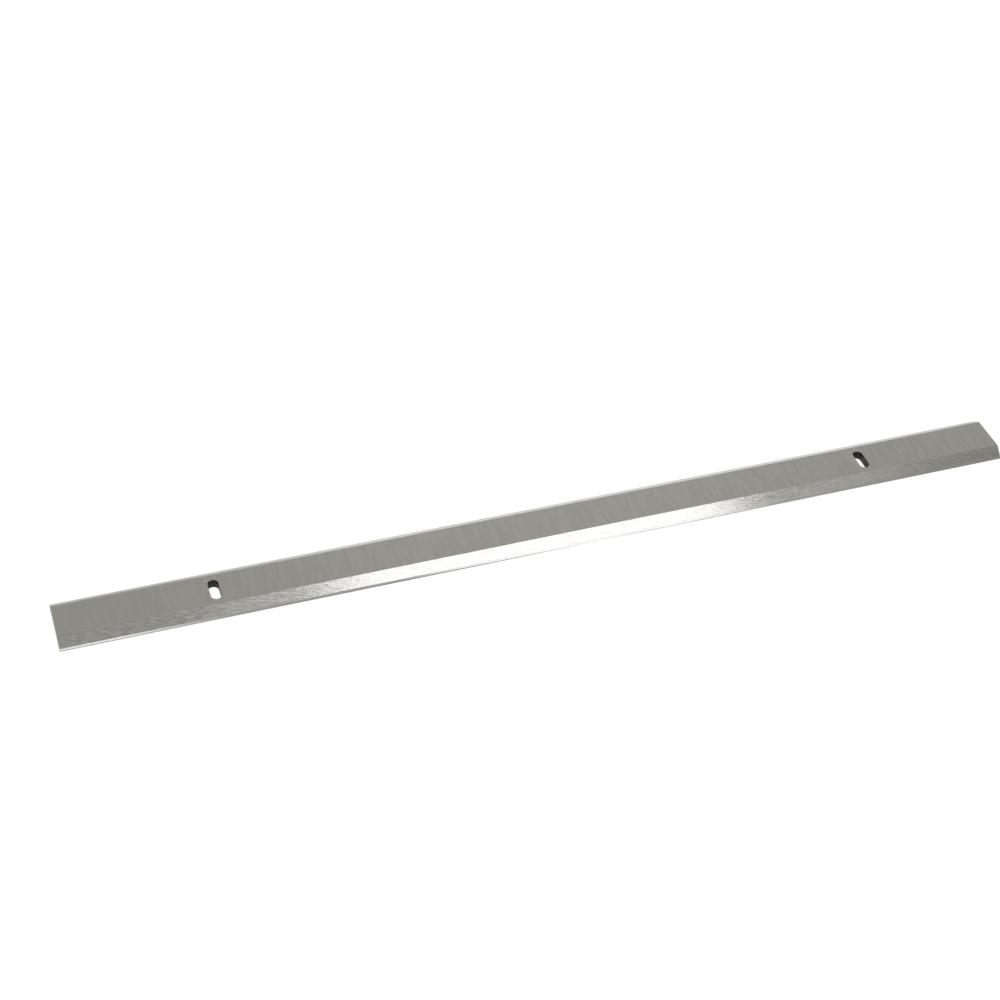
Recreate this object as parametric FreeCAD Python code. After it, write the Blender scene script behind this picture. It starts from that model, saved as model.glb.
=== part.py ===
"""Thickness planer knife: one bar of ground high-speed steel with a long bevel and two screw slots.

Frame, in millimetres: X runs along the knife from its middle, +Y points from the cutting edge to the
heel, and +Z points from the plain seating face to the face that carries the bevel.
"""
import FreeCAD, Part
import math
import os

# bar of ground steel
knife_length = 319.0
knife_width = 18.2
knife_thickness = 3.2

# cutting edge, angles measured up from the seating face
bevel_angle = 40.0
land_width = 0.6
land_angle = 49.0
edge_facet_width = 0.25
edge_facet_angle = 75.0

# heel, rounded from both wide faces to a narrow flat between the two rounds
heel_radius = 3.0
heel_flat = 0.2

# one heel corner is clipped off at a slant
clip_length = 3.6
clip_depth = 2.2

# slots for the clamping screws, their long way across the knife
slot_spacing = 221.0
slot_width = 3.4
slot_length = 8.2
slot_to_heel = 8.65

# the point midway between the two slots lies this far from the middle of the knife
slot_offset = -0.3

# light stoning of the sharp edges
slot_edge_break = 0.05
end_edge_break = 0.1

# how far a cutting outline stands out past what it trims
trim_overlap = 2.0

# how closely an edge has to lie where it is looked for
tolerance = 1e-5

edge_y = -knife_width / 2
heel_y = knife_width / 2
end_x = knife_length / 2
slot_y = heel_y - slot_to_heel
slot_places = [slot_offset + side * slot_spacing / 2 for side in (-1, 1)]
heel_drop = (knife_thickness - heel_flat) / 2
heel_depth = math.sqrt(heel_drop * (2 * heel_radius - heel_drop))


def step_out(y, z, width, angle):
    """Point at the far side of a narrow ground facet that starts at (y, z)."""
    rise = math.radians(angle)
    return y + width * math.cos(rise), z + width * math.sin(rise)


def cross_section():
    """Outline of the knife across its length: facet, land, bevel, face and round heel."""
    facet_y, facet_z = step_out(edge_y, 0, edge_facet_width, edge_facet_angle)
    land_y, land_z = step_out(facet_y, facet_z, land_width, land_angle)
    ridge_y = land_y + (knife_thickness - land_z) / math.tan(math.radians(bevel_angle))

    def point(y, z):
        return FreeCAD.Vector(-end_x, y, z)

    def heel_arc(face_z, side):
        """Round of the heel, tangent to the wide face at face_z and ending at the heel's flat."""
        centre_y = heel_y - heel_depth
        centre_z = face_z - side * heel_radius
        face_turn = math.pi / 2
        flat_turn = math.acos(heel_depth / heel_radius)
        stops = []
        for turn in (face_turn, (face_turn + flat_turn) / 2, flat_turn):
            y = centre_y + heel_radius * math.cos(turn)
            z = centre_z + side * heel_radius * math.sin(turn)
            stops.append(point(y, z))
        return stops[0], stops[2], Part.Arc(*stops).toShape()

    low_start, low_end, low_arc = heel_arc(0, -1)
    high_start, high_end, high_arc = heel_arc(knife_thickness, 1)
    tip = point(edge_y, 0)
    facet_top = point(facet_y, facet_z)
    land_top = point(land_y, land_z)
    ridge = point(ridge_y, knife_thickness)
    outline = Part.Wire([
        Part.makeLine(tip, low_start),
        low_arc,
        Part.makeLine(low_end, high_end),
        high_arc,
        Part.makeLine(high_start, ridge),
        Part.makeLine(ridge, land_top),
        Part.makeLine(land_top, facet_top),
        Part.makeLine(facet_top, tip),
    ])
    return Part.Face(outline)


def slot_outline(centre_x):
    """Slot seen from above: two straight sides across the knife, joined by half circles."""
    radius = slot_width / 2
    reach = slot_length / 2 - radius

    def point(dx, dy):
        return FreeCAD.Vector(centre_x + dx, slot_y + dy, -trim_overlap)

    return Part.Wire([
        Part.makeLine(point(radius, -reach), point(radius, reach)),
        Part.Arc(point(radius, reach), point(0, reach + radius), point(-radius, reach)).toShape(),
        Part.makeLine(point(-radius, reach), point(-radius, -reach)),
        Part.Arc(point(-radius, -reach), point(0, -reach - radius), point(radius, -reach)).toShape(),
    ])


def plan_outline():
    """Outline of the knife seen from above, with one heel corner clipped."""
    front_y = edge_y - trim_overlap
    back_y = heel_y + trim_overlap
    # the slant of the clip runs on past the heel, so that it trims the round of the heel as well
    slant_x = end_x - clip_length - trim_overlap * clip_length / clip_depth
    corners = [
        (-end_x, front_y),
        (end_x, front_y),
        (end_x, heel_y - clip_depth),
        (slant_x, back_y),
        (-end_x, back_y),
    ]
    points = [FreeCAD.Vector(x, y, -trim_overlap) for x, y in corners]
    return Part.makePolygon(points + points[:1])


def through_thickness(flat):
    return flat.extrude(FreeCAD.Vector(0, 0, knife_thickness + 2 * trim_overlap))


def end_rims(shape):
    """Edges all round the two square ends."""
    rims = []
    for edge in shape.Edges:
        box = edge.BoundBox
        if box.XLength < tolerance and abs(abs(box.XMin) - end_x) < tolerance:
            rims.append(edge)
    return rims


def slot_rims(shape):
    """Edges where the slots open through the two wide faces."""
    rims = []
    for edge in shape.Edges:
        box = edge.BoundBox
        on_wide_face = box.ZLength < tolerance and (
            abs(box.ZMin) < tolerance or abs(box.ZMax - knife_thickness) < tolerance)
        along = min(abs(box.Center.x - x) for x in slot_places) < slot_width / 2 + tolerance
        across = abs(box.Center.y - slot_y) < slot_length / 2 + tolerance
        if on_wide_face and along and across:
            rims.append(edge)
    return rims


def build_knife():
    bar = cross_section().extrude(FreeCAD.Vector(knife_length, 0, 0))
    knife = bar.common(through_thickness(Part.Face(plan_outline())))
    for slot_x in slot_places:
        slot = through_thickness(Part.Face(slot_outline(slot_x)))
        knife = knife.cut(slot)
    knife = knife.makeChamfer(slot_edge_break, slot_rims(knife))
    knife = knife.makeChamfer(end_edge_break, end_rims(knife))
    return knife.Solids[0]


os.makedirs("parts", exist_ok=True)
planer_knife = build_knife()
planer_knife.exportStep("parts/planer_knife.step")
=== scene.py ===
import math

import bpy
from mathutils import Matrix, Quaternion, Vector


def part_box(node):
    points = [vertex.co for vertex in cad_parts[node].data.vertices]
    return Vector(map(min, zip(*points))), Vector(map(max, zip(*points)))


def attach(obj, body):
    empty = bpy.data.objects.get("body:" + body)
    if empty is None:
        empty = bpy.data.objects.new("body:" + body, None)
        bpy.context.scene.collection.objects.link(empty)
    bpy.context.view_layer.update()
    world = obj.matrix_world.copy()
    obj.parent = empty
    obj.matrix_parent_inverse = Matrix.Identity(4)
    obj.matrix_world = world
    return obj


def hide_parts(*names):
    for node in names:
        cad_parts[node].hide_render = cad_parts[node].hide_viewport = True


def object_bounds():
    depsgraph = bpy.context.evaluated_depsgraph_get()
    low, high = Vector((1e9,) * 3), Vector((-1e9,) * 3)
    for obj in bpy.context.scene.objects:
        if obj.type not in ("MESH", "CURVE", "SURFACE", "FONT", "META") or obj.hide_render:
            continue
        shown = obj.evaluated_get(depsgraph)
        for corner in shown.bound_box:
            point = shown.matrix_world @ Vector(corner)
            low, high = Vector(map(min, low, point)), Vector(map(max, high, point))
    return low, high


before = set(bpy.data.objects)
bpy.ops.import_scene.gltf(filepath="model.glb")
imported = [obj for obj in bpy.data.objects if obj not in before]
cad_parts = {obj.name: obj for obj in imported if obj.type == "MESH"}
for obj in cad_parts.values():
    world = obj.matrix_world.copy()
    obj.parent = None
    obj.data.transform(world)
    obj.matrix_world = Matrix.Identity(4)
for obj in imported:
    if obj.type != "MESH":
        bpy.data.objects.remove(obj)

cadLow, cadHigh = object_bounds()
mm = 0.001
cutTolerance = 0.0001 * mm
near = 0.001 * mm               # how closely an edge has to lie where it is looked for
weldDistance = 0.01 * mm        # corners closer than this become one
plainWhite = (1, 1, 1, 1)


def clearSelection():
    if bpy.context.object and bpy.context.object.mode != 'OBJECT':
        bpy.ops.object.mode_set(mode='OBJECT')
    bpy.ops.object.select_all(action='DESELECT')


def makeActive(piece):
    clearSelection()
    piece.select_set(True)
    bpy.context.view_layer.objects.active = piece


def pickEdges(piece, wanted):
    # wanted looks at the two ends of an edge
    bpy.ops.object.mode_set(mode='EDIT')
    bpy.ops.mesh.select_mode(type='EDGE')
    bpy.ops.mesh.select_all(action='DESELECT')
    bpy.ops.object.mode_set(mode='OBJECT')
    corners = piece.data.vertices
    for edge in piece.data.edges:
        start, end = (corners[index].co for index in edge.vertices)
        edge.select = wanted(start, end)
    bpy.ops.object.mode_set(mode='EDIT')


def pickFaces(piece, wanted):
    # wanted looks at a face's middle and normal
    bpy.ops.object.mode_set(mode='EDIT')
    bpy.ops.mesh.select_mode(type='FACE')
    bpy.ops.mesh.select_all(action='DESELECT')
    bpy.ops.object.mode_set(mode='OBJECT')
    for face in piece.data.polygons:
        face.select = wanted(face.center, face.normal)
    bpy.ops.object.mode_set(mode='EDIT')


def sliceOff(planePoint, planeNormal):
    # everything on the side of the normal goes, and the cut is closed
    bpy.ops.mesh.select_all(action='SELECT')
    bpy.ops.mesh.bisect(plane_co=planePoint, plane_no=planeNormal, use_fill=True,
                        clear_outer=True, threshold=cutTolerance)


def scoreAcross(x):
    # a cut across the bar that takes nothing away
    bpy.ops.mesh.select_all(action='SELECT')
    bpy.ops.mesh.bisect(plane_co=(x, 0, 0), plane_no=(1, 0, 0), threshold=cutTolerance)


# steel finishes, the slot walls' one darkened with painted shade

finishes = {
    # tint is how far the grain darkens and lightens the colour, and roughness is given for its
    # dark and for its light; each layer is the grain's fineness along and across the knife per
    # metre, its lean in degrees and its share; detail adds finer grain, bumpHeight is in metres,
    # and tilt turns the grain into the surface's own plane; fade is how strong the grain is at
    # the left end and further right, and the share of the length over which it changes
    "groundFace": {
        "colour": (0.423, 0.416, 0.376), "tint": 0.03, "roughness": (0.265, 0.285), "tilt": 0,
        "layers": ((860, 130, 2.5, 0.8), (60, 50, 0, 0.2)), "detail": 0, "bumpHeight": 0.0000005,
        "fade": (0.3, 1, 0.22),
    },
    "groundBevel": {
        "colour": (0.439, 0.43, 0.396), "tint": 0.16, "roughness": (0.05, 0.15), "tilt": 40,
        "layers": ((360, 2600, 8, 0.5), (620, 4200, 3, 0.5)), "detail": 2, "bumpHeight": 0.000024,
        "fade": (1.7, 0.85, 1),
    },
    "honedLand": {
        "colour": (0.49, 0.485, 0.46), "tint": 0.04, "roughness": (0.12, 0.18), "tilt": 49,
        "layers": ((60, 3000, 0, 1),), "detail": 3, "bumpHeight": 0.0000003,
    },
    "roundHeel": {
        "colour": (0.45, 0.445, 0.41), "tint": 0.06, "roughness": (0.24, 0.30), "tilt": 0,
        "layers": ((90, 900, 0, 1),), "detail": 3, "bumpHeight": 0.0000006,
    },
    "groundEnd": {
        "colour": (0.42, 0.415, 0.38), "tint": 0.06, "roughness": (0.30, 0.38), "tilt": 0,
        "layers": ((300, 900, 0, 1),), "detail": 3, "bumpHeight": 0.0000012,
    },
    # painted shade: the slot walls get a nearly black colour, far darker than the steel, for the
    # shade inside the slots
    "slotWallPaintedShade": {
        "colour": (0.04, 0.035, 0.029), "tint": 0.1, "roughness": (0.40, 0.55), "tilt": 0,
        "layers": ((900, 900, 0, 1),), "detail": 3, "bumpHeight": 0.000002,
    },
}
grainContrast = (0.36, 0.64)        # grain values that reach the ends of tint and roughness
grainMiddle = 0.5                   # grain value that a fade leaves as it is
grainRoughness = 0.5                # how strong the finer grain is, layer by layer

# painted reflection on the narrow facet: its brightness along the knife, from its left end to its
# right end, stands in for the lamps and shade it mirrors
facetPaintedReflection = ((0, 0.3), (0.13, 0.33), (0.18, 0.24), (0.36, 0.18), (0.42, 0.22), (0.475, 0.5),
              (0.54, 1), (0.6, 0.6), (0.67, 0.4), (0.74, 0.31), (0.82, 0.26), (0.95, 0.13))
facetRoughness = 0.2


def mathNode(nodes, operation, constants=None):
    # constants gives the fixed inputs by their number
    node = nodes.new("ShaderNodeMath")
    node.operation = operation
    for number, value in (constants or {}).items():
        node.inputs[number].default_value = value
    return node


def rangeNode(nodes, source, target):
    # carries the values between the two ends of source over to those of target
    node = nodes.new("ShaderNodeMapRange")
    node.inputs["From Min"].default_value, node.inputs["From Max"].default_value = source
    node.inputs["To Min"].default_value, node.inputs["To Max"].default_value = target
    return node


def bareSteel(name):
    steel = bpy.data.materials.new(name)
    steel.use_nodes = True
    nodes, links = steel.node_tree.nodes, steel.node_tree.links
    shader = nodes["Principled BSDF"]
    shader.inputs["Metallic"].default_value = 1
    return steel, nodes, links, shader


def fadeGrain(grain, look, place, nodes, links):
    # the grain's swing about its middle value, made weaker or stronger along the knife
    atLeft, further, reach = look["fade"]
    fadeEnd = cadLow.x + reach * (cadHigh.x - cadLow.x)
    parts = nodes.new("ShaderNodeSeparateXYZ")
    strength = rangeNode(nodes, (cadLow.x, fadeEnd), (atLeft, further))
    swing = mathNode(nodes, 'SUBTRACT', {1: grainMiddle})
    faded = mathNode(nodes, 'MULTIPLY_ADD', {2: grainMiddle})
    links.new(place.outputs["Object"], parts.inputs["Vector"])
    links.new(parts.outputs["X"], strength.inputs["Value"])
    links.new(grain.outputs["Value"], swing.inputs[0])
    links.new(swing.outputs["Value"], faded.inputs[0])
    links.new(strength.outputs["Result"], faded.inputs[1])
    return faded


def grainOf(look, nodes, links):
    # the layers of grain, added by their shares
    place = nodes.new("ShaderNodeTexCoord")
    total = None
    for alongX, across, lean, share in look["layers"]:
        turn = nodes.new("ShaderNodeMapping")
        turn.inputs["Rotation"].default_value = (-math.radians(look["tilt"]), 0, math.radians(lean))
        stretch = nodes.new("ShaderNodeMapping")
        stretch.inputs["Scale"].default_value = (alongX, across, across)
        lines = nodes.new("ShaderNodeTexNoise")
        lines.inputs["Scale"].default_value = 1
        lines.inputs["Detail"].default_value = look["detail"]
        lines.inputs["Roughness"].default_value = grainRoughness
        part = mathNode(nodes, 'MULTIPLY', {1: share})
        links.new(place.outputs["Object"], turn.inputs["Vector"])
        links.new(turn.outputs["Vector"], stretch.inputs["Vector"])
        links.new(stretch.outputs["Vector"], lines.inputs["Vector"])
        links.new(lines.outputs["Fac"], part.inputs[0])
        if total is None:
            total = part
        else:
            joined = mathNode(nodes, 'ADD')
            links.new(total.outputs["Value"], joined.inputs[0])
            links.new(part.outputs["Value"], joined.inputs[1])
            total = joined
    if "fade" in look:
        total = fadeGrain(total, look, place, nodes, links)
    return total.outputs["Value"]


def steelFinish(name):
    look = finishes[name]
    steel, nodes, links, shader = bareSteel(name)
    grain = grainOf(look, nodes, links)

    gloss = rangeNode(nodes, grainContrast, look["roughness"])
    links.new(grain, gloss.inputs["Value"])
    links.new(gloss.outputs["Result"], shader.inputs["Roughness"])

    tone = nodes.new("ShaderNodeValToRGB")
    for element, position, step in zip(tone.color_ramp.elements, grainContrast, (-1, 1)):
        element.position = position
        element.color = [part * (1 + step * look["tint"]) for part in look["colour"]] + [1]
    links.new(grain, tone.inputs["Fac"])
    links.new(tone.outputs["Color"], shader.inputs["Base Color"])

    relief = nodes.new("ShaderNodeBump")
    relief.inputs["Strength"].default_value = 1
    relief.inputs["Distance"].default_value = look["bumpHeight"]
    links.new(grain, relief.inputs["Height"])
    links.new(relief.outputs["Normal"], shader.inputs["Normal"])
    return steel


def facetWithPaintedReflection(low, high):
    # the narrow facet's steel, whose colour carries a painted reflection that brightens and darkens
    # along the knife
    steel, nodes, links, shader = bareSteel("edgeFacetPaintedReflection")
    shader.inputs["Roughness"].default_value = facetRoughness
    place = nodes.new("ShaderNodeTexCoord")
    parts = nodes.new("ShaderNodeSeparateXYZ")
    along = rangeNode(nodes, (low.x, high.x), (0, 1))
    # painted reflection: brightness stops along the knife in place of the lamps and shade that the
    # facet mirrors
    tone = nodes.new("ShaderNodeValToRGB")
    stops = tone.color_ramp.elements
    while len(stops) < len(facetPaintedReflection):
        stops.new(1)
    for stop, (position, brightness) in zip(stops, facetPaintedReflection):
        stop.position = position
        stop.color = (brightness, brightness, brightness, 1)
    links.new(place.outputs["Object"], parts.inputs["Vector"])
    links.new(parts.outputs["X"], along.inputs["Value"])
    links.new(along.outputs["Result"], tone.inputs["Fac"])
    links.new(tone.outputs["Color"], shader.inputs["Base Color"])
    return steel


# the knife: a bar that is cut to its section, slotted and stoned

knifeSizes = {
    "bevelAngle": 40,           # angles from the seating face, sizes in mm
    "landWidth": 0.6,
    "landAngle": 49,
    "facetWidth": 0.25,
    "facetAngle": 75,
    "heelRadius": 3,
    "heelFlat": 0.2,
    "heelFlats": 14,            # narrow flats that make up each round of the heel
    "clipLength": 3.6,
    "clipDepth": 2.2,
    "slotSpacing": 221,
    "slotOffset": -0.3,         # the point midway between the slots, from the middle of the knife
    "slotWidth": 3.4,
    "slotLength": 8.2,
    "slotToHeel": 8.65,
    "slotEnds": 18,             # steps in each quarter round of a slot
    "slotMargin": 4,            # width of bar kept on either side of a slot by its cross cuts
    "slotRim": 0.05,
    "slotRimSteps": 3,
    "endRim": 0.1,
    "lineRim": 0.03,            # the least break on the ridge and the land's borders
    "rimSteps": 2,              # steps across the breaks of the ends and of these lines
    "overlap": 2,               # how far a slot's cutter stands out past the bar
}
smoothAngle = math.radians(6)

# what a face's normal and place have to pass for a finish to go on it
faceLimits = {
    "forward": -0.4,            # y of the normal on the cutting edge's side, at most
    "facetRise": 0.1,           # z of the normal on the narrow facet, at least
    "backward": 0.02,           # y of the normal on the heel, at least
    "endways": 0.4,             # x of the normal on the ends and the clip, at least
    "endReach": 4,              # how far in from the end those lie, in mm
    "upright": 0.2,             # z of the normal on a slot's wall, at most
    "wallReach": 0.1,           # how far out from the slot that lies, in mm
}


def squareBar(low, high):
    bpy.ops.mesh.primitive_cube_add(size=1, location=(low + high) / 2, scale=high - low)
    bar = bpy.context.object
    bar.name = "planerKnife"
    bpy.ops.object.transform_apply(location=True, rotation=True, scale=True)
    return bar


def cutEdgeFlats(low, high):
    sizes = knifeSizes
    bevel, land, facet = (math.radians(sizes[key])
                          for key in ("bevelAngle", "landAngle", "facetAngle"))
    facetTop = Vector((0, low.y + sizes["facetWidth"] * mm * math.cos(facet),
                       low.z + sizes["facetWidth"] * mm * math.sin(facet)))
    landTop = facetTop + Vector((0, math.cos(land), math.sin(land))) * sizes["landWidth"] * mm
    for start, angle in ((landTop, bevel), (facetTop, land), (Vector((0, low.y, low.z)), facet)):
        sliceOff(start, (0, -math.sin(angle), math.cos(angle)))


def roundHeel(low, high):
    # flats that touch the two large rounds, each round ending at the heel's own flat
    sizes = knifeSizes
    radius = sizes["heelRadius"] * mm
    drop = (high.z - low.z - sizes["heelFlat"] * mm) / 2
    depth = math.sqrt(drop * (2 * radius - drop))
    sweep = math.asin(depth / radius)
    for side, face in ((1, high.z), (-1, low.z)):
        middle = Vector((0, high.y - depth, face - side * radius))
        for step in range(sizes["heelFlats"]):
            turned = sweep * (step + 0.5) / sizes["heelFlats"]
            out = Vector((0, math.sin(turned), side * math.cos(turned)))
            sliceOff(middle + out * radius, out)


def clipCorner(high):
    sizes = knifeSizes
    slant = Vector((sizes["clipDepth"], sizes["clipLength"], 0)).normalized()
    sliceOff((high.x, high.y - sizes["clipDepth"] * mm, 0), slant)


def slotCutter(low, high, x):
    sizes = knifeSizes
    width, length, over = (sizes[key] * mm for key in ("slotWidth", "slotLength", "overlap"))
    tall = high.z - low.z + 2 * over
    y = high.y - sizes["slotToHeel"] * mm
    clearSelection()
    bpy.ops.mesh.primitive_cube_add(size=1, location=(x, y, (low.z + high.z) / 2),
                                    scale=(width, length, tall))
    cutter = bpy.context.object
    bpy.ops.object.transform_apply(location=True, rotation=True, scale=True)
    # the four upright edges, rounded until each end is a half circle
    pickEdges(cutter, lambda a, b: abs(a.z - b.z) > tall / 2)
    bpy.ops.mesh.bevel(offset=width / 2, segments=sizes["slotEnds"])
    bpy.ops.mesh.select_all(action='SELECT')
    bpy.ops.mesh.remove_doubles(threshold=weldDistance)
    bpy.ops.object.mode_set(mode='OBJECT')
    return cutter


def cutSlots(bar, low, high):
    sizes = knifeSizes
    for side in (-1, 1):
        x = (sizes["slotOffset"] + side * sizes["slotSpacing"] / 2) * mm
        reach = (sizes["slotWidth"] / 2 + sizes["slotMargin"]) * mm
        makeActive(bar)
        bpy.ops.object.mode_set(mode='EDIT')
        scoreAcross(x - reach)
        scoreAcross(x + reach)
        cutter = slotCutter(low, high, x)
        makeActive(bar)
        slot = bar.modifiers.new("slot", 'BOOLEAN')
        slot.operation = 'DIFFERENCE'
        slot.solver = 'EXACT'
        slot.object = cutter
        bpy.ops.object.modifier_apply(modifier=slot.name)
        bpy.data.objects.remove(cutter)


def inSlot(point, high, extra):
    # whether a point, seen from above, lies in the nearer slot or no further than extra outside
    sizes = knifeSizes
    radius = sizes["slotWidth"] / 2 * mm
    reach = sizes["slotLength"] / 2 * mm - radius
    dx = abs(point.x - sizes["slotOffset"] * mm) - sizes["slotSpacing"] / 2 * mm
    dy = abs(point.y - high.y + sizes["slotToHeel"] * mm)
    return math.hypot(dx, max(dy - reach, 0)) < radius + extra


def breakEdges(bar, low, high):
    sizes = knifeSizes

    def onEnd(a, b):
        return abs(abs(a.x) - high.x) < near and abs(a.x - b.x) < near

    def onSlotRim(a, b):
        level = abs(a.z - b.z) < near and (abs(a.z - low.z) < near or abs(a.z - high.z) < near)
        return level and inSlot(a, high, near) and inSlot(b, high, near)

    def onRidge(a, b):
        lengthwise = abs(a.y - b.y) < near and abs(a.z - b.z) < near
        return lengthwise and a.y < 0 and a.z > low.z + near

    for wanted, rim, steps in ((onSlotRim, "slotRim", "slotRimSteps"),
                               (onRidge, "lineRim", "rimSteps"),
                               (onEnd, "endRim", "rimSteps")):
        pickEdges(bar, wanted)
        bpy.ops.mesh.bevel(offset=sizes[rim] * mm, segments=sizes[steps])
    bpy.ops.object.mode_set(mode='OBJECT')


def paintFinishes(bar, low, high):
    # each finish goes on the faces that lie its way, the facet's painted reflection and the slot
    # walls' painted shade among them
    sizes = knifeSizes
    limits = faceLimits
    heelStart = high.y - sizes["heelRadius"] * mm
    endStart = high.x - limits["endReach"] * mm
    landRise = math.cos(math.radians((sizes["bevelAngle"] + sizes["landAngle"]) / 2))
    facetRise = math.cos(math.radians((sizes["landAngle"] + sizes["facetAngle"]) / 2))

    def onBevel(middle, normal):
        return normal.y < limits["forward"] and normal.z > landRise

    def onLand(middle, normal):
        return normal.y < limits["forward"] and facetRise < normal.z <= landRise

    def onFacet(middle, normal):
        return normal.y < limits["forward"] and limits["facetRise"] < normal.z <= facetRise

    def onHeel(middle, normal):
        return normal.y > limits["backward"] and middle.y > heelStart

    def onEnd(middle, normal):
        return abs(normal.x) > limits["endways"] and abs(middle.x) > endStart

    def onSlotWall(middle, normal):
        return abs(normal.z) < limits["upright"] and inSlot(middle, high, limits["wallReach"] * mm)

    # a face that two zones want gets the later finish
    zones = (("groundBevel", onBevel), ("honedLand", onLand), ("edgeFacetPaintedReflection", onFacet),
             ("roundHeel", onHeel), ("groundEnd", onEnd), ("slotWallPaintedShade", onSlotWall))
    bar.data.materials.append(steelFinish("groundFace"))
    for materialNumber, (finish, wanted) in enumerate(zones, start=1):
        steel = steelFinish(finish) if finish in finishes else facetWithPaintedReflection(low, high)
        bar.data.materials.append(steel)
        pickFaces(bar, wanted)
        bar.active_material_index = materialNumber
        bpy.ops.object.material_slot_assign()
    bpy.ops.object.mode_set(mode='OBJECT')


def buildKnife():
    low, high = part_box("planer_knife")
    clearSelection()
    bar = squareBar(low, high)
    bpy.ops.object.mode_set(mode='EDIT')
    cutEdgeFlats(low, high)
    roundHeel(low, high)
    clipCorner(high)
    cutSlots(bar, low, high)
    breakEdges(bar, low, high)
    paintFinishes(bar, low, high)
    makeActive(bar)
    bpy.ops.object.shade_smooth_by_angle(angle=smoothAngle)
    steady = bar.modifiers.new("steadyNormals", 'WEIGHTED_NORMAL')
    steady.keep_sharp = True
    bpy.ops.object.modifier_apply(modifier=steady.name)
    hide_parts("planer_knife")
    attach(bar, "root")
    print("knife:", len(bar.data.polygons), "faces")


# floor, room and lamps

studio = {
    "floorSize": 6,                 # floor sizes in metres
    "floorDrop": 0.00002,           # keeps the floor off the knife's underside
    "floorGlow": 0.93,              # share of the floor that shows as plain white
    "floorWhite": 1.03,             # brightness of that white
    "roomLow": 1,                   # brightness of the walls
    "roomHigh": 0.6,                # and of the soft grey overhead
    "whiteUpTo": 0.36,              # sine of the height up to which the walls are white
    "greyFrom": 0.5,                # and from which the grey is full
    "shadeSide": (0.7, -0.7, 0),    # overhead it is a little darker towards the front right
    "shadeFrom": (0.702, 0.716),    # how far that way the shade starts and is full
    "shadeHigh": 0.42,              # brightness of the grey in that shade
}


def buildFloor():
    # looked at or mirrored, it is nearly plain white, and the rest of it takes the shadow
    clearSelection()
    bpy.ops.mesh.primitive_plane_add(size=studio["floorSize"],
                                     location=(0, 0, -studio["floorDrop"]))
    floor = bpy.context.object
    floor.name = "studioFloor"
    bpy.ops.object.transform_apply(location=True, rotation=True, scale=True)
    white = bpy.data.materials.new("floorWhite")
    white.use_nodes = True
    nodes, links = white.node_tree.nodes, white.node_tree.links
    nodes.remove(nodes["Principled BSDF"])
    paint = nodes.new("ShaderNodeBsdfDiffuse")
    paint.inputs["Color"].default_value = plainWhite
    glow = nodes.new("ShaderNodeEmission")
    glow.inputs["Strength"].default_value = studio["floorWhite"]
    rays = nodes.new("ShaderNodeLightPath")
    seen = mathNode(nodes, 'MAXIMUM')
    through = mathNode(nodes, 'MAXIMUM')
    share = mathNode(nodes, 'MULTIPLY', {1: studio["floorGlow"]})
    mix = nodes.new("ShaderNodeMixShader")
    links.new(rays.outputs["Is Camera Ray"], seen.inputs[0])
    links.new(rays.outputs["Is Glossy Ray"], seen.inputs[1])
    links.new(seen.outputs["Value"], through.inputs[0])
    links.new(rays.outputs["Is Transmission Ray"], through.inputs[1])
    links.new(through.outputs["Value"], share.inputs[0])
    links.new(share.outputs["Value"], mix.inputs["Fac"])
    links.new(paint.outputs["BSDF"], mix.inputs[1])
    links.new(glow.outputs["Emission"], mix.inputs[2])
    links.new(mix.outputs["Shader"], nodes["Material Output"].inputs["Surface"])
    floor.data.materials.append(white)


def buildRoom():
    # white walls that fall to a soft grey overhead
    world = bpy.data.worlds.new("studioRoom")
    bpy.context.scene.world = world
    world.use_nodes = True
    nodes, links = world.node_tree.nodes, world.node_tree.links
    background = nodes["Background"]
    background.inputs["Color"].default_value = plainWhite
    place = nodes.new("ShaderNodeTexCoord")
    side = nodes.new("ShaderNodeVectorMath")
    side.operation = 'DOT_PRODUCT'
    side.inputs[1].default_value = studio["shadeSide"]
    overhead = rangeNode(nodes, studio["shadeFrom"], (studio["roomHigh"], studio["shadeHigh"]))
    parts = nodes.new("ShaderNodeSeparateXYZ")
    fall = rangeNode(nodes, (studio["whiteUpTo"], studio["greyFrom"]),
                     (studio["roomLow"], studio["roomHigh"]))
    fall.interpolation_type = 'SMOOTHSTEP'
    # the grey with its shade takes the place of the even grey that the walls would fall to
    links.new(place.outputs["Generated"], side.inputs[0])
    links.new(side.outputs["Value"], overhead.inputs["Value"])
    links.new(place.outputs["Generated"], parts.inputs["Vector"])
    links.new(parts.outputs["Z"], fall.inputs["Value"])
    links.new(overhead.outputs["Result"], fall.inputs["To Max"])
    links.new(fall.outputs["Result"], background.inputs["Strength"])


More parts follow.
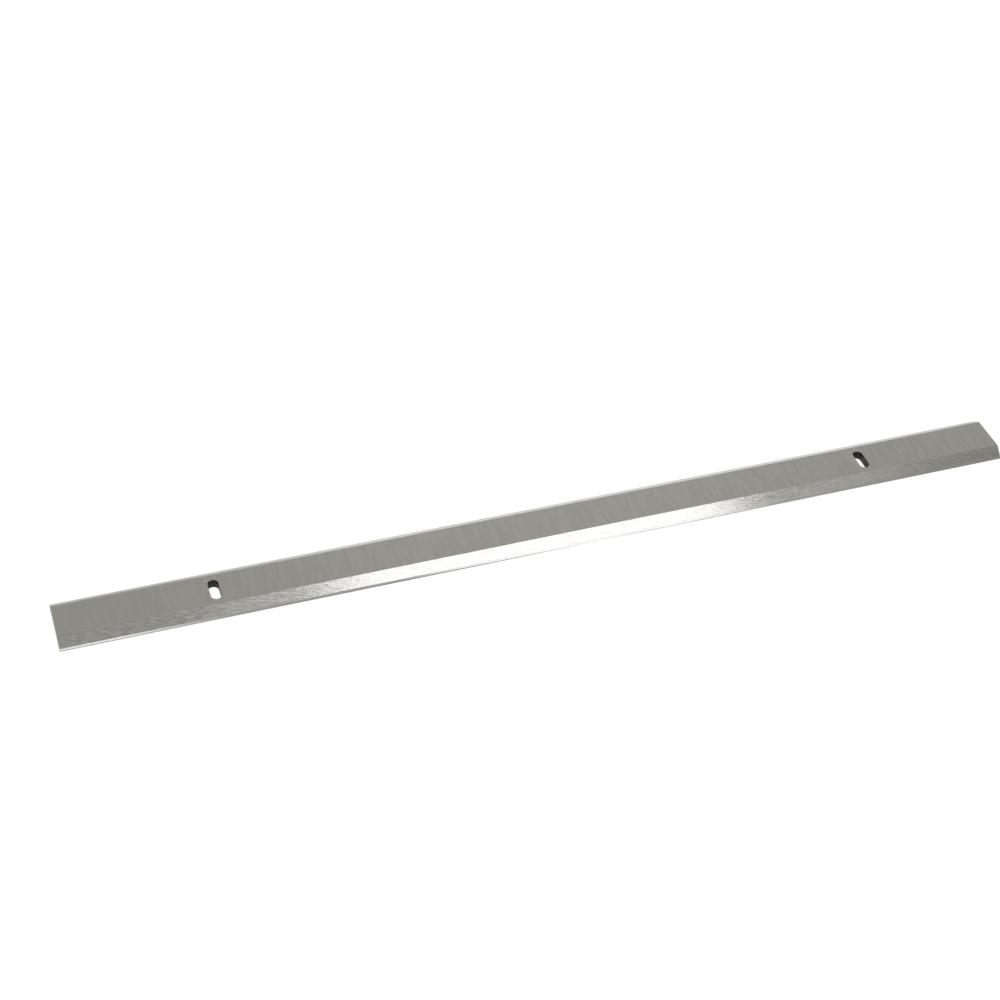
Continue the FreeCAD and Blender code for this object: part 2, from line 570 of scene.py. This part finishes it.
lampColour = (0.99, 0.99, 1.05)
lampAim = 0.5       # a lamp is turned to the knife's middle line at this share of its own x
lamps = {
    # place and size in mm, glow as the brightness that a mirror would show
    "bevelSoftbox": {"place": (159.5, -348, 460), "size": (261, 170), "glow": 1.87},
    "bevelFadeLeft": {"place": (-10, -348, 460), "size": (78, 170), "glow": 0.24},
    "bevelFadeRight": {"place": (351, -348, 460), "size": (122, 170), "glow": 0.18},
    "landLampLeft": {"place": (-112, -662, 460), "size": (120, 60), "glow": 1.6},
    "landLampRight": {"place": (272, -662, 460), "size": (246, 60), "glow": 2.5},
    "landLampFar": {"place": (470, -662, 460), "size": (150, 60), "glow": 0.17},
    "heelCard": {"place": (440, 1150, 420), "size": (680, 760), "glow": 0.62},
    "faceCard": {"place": (150, 441, 460), "size": (300, 160), "glow": 0.05},
}


def hangLamp(name):
    look = lamps[name]
    place = Vector(look["place"]) * mm
    width, height = (side * mm for side in look["size"])
    light = bpy.data.lights.new(name, 'AREA')
    light.shape = 'RECTANGLE'
    light.size, light.size_y = width, height
    light.energy = look["glow"] * math.pi * width * height
    light.color = lampColour
    lamp = bpy.data.objects.new(name, light)
    bpy.context.collection.objects.link(lamp)
    lamp.location = place
    aimed = Vector((place.x * lampAim, 0, 0))
    lamp.rotation_euler = (aimed - place).to_track_quat('-Z', 'Y').to_euler()
    lamp.visible_camera = False


# camera, fitted to the knife's outline in the photo

cameraView = {
    # lengths in mm, roll in degrees
    "place": (-176.2, -393.46, 411.13),
    "aim": (-12.58, 17.78, 0),
    "roll": 4.055,
    "lens": 66.535,
    "sensor": 36,
    "nearest": 10,              # nothing closer to the camera than this is seen
}


def placeCamera():
    view = cameraView
    place = Vector(view["place"]) * mm
    toKnife = Vector(view["aim"]) * mm - place
    bpy.ops.object.camera_add(location=place)
    camera = bpy.context.object
    camera.name = "productCamera"
    camera.rotation_mode = 'QUATERNION'
    camera.rotation_quaternion = (toKnife.to_track_quat('-Z', 'Y')
                                  @ Quaternion((0, 0, 1), math.radians(view["roll"])))
    camera.data.sensor_width = view["sensor"]
    camera.data.lens = view["lens"]
    camera.data.clip_start = view["nearest"] * mm
    bpy.context.scene.camera = camera


print("cutting the knife")
buildKnife()
print("laying the floor and hanging the lamps")
buildFloor()
buildRoom()
for lampName in lamps:
    hangLamp(lampName)
print("placing the camera")
placeCamera()
bpy.context.scene.view_settings.view_transform = 'Standard'
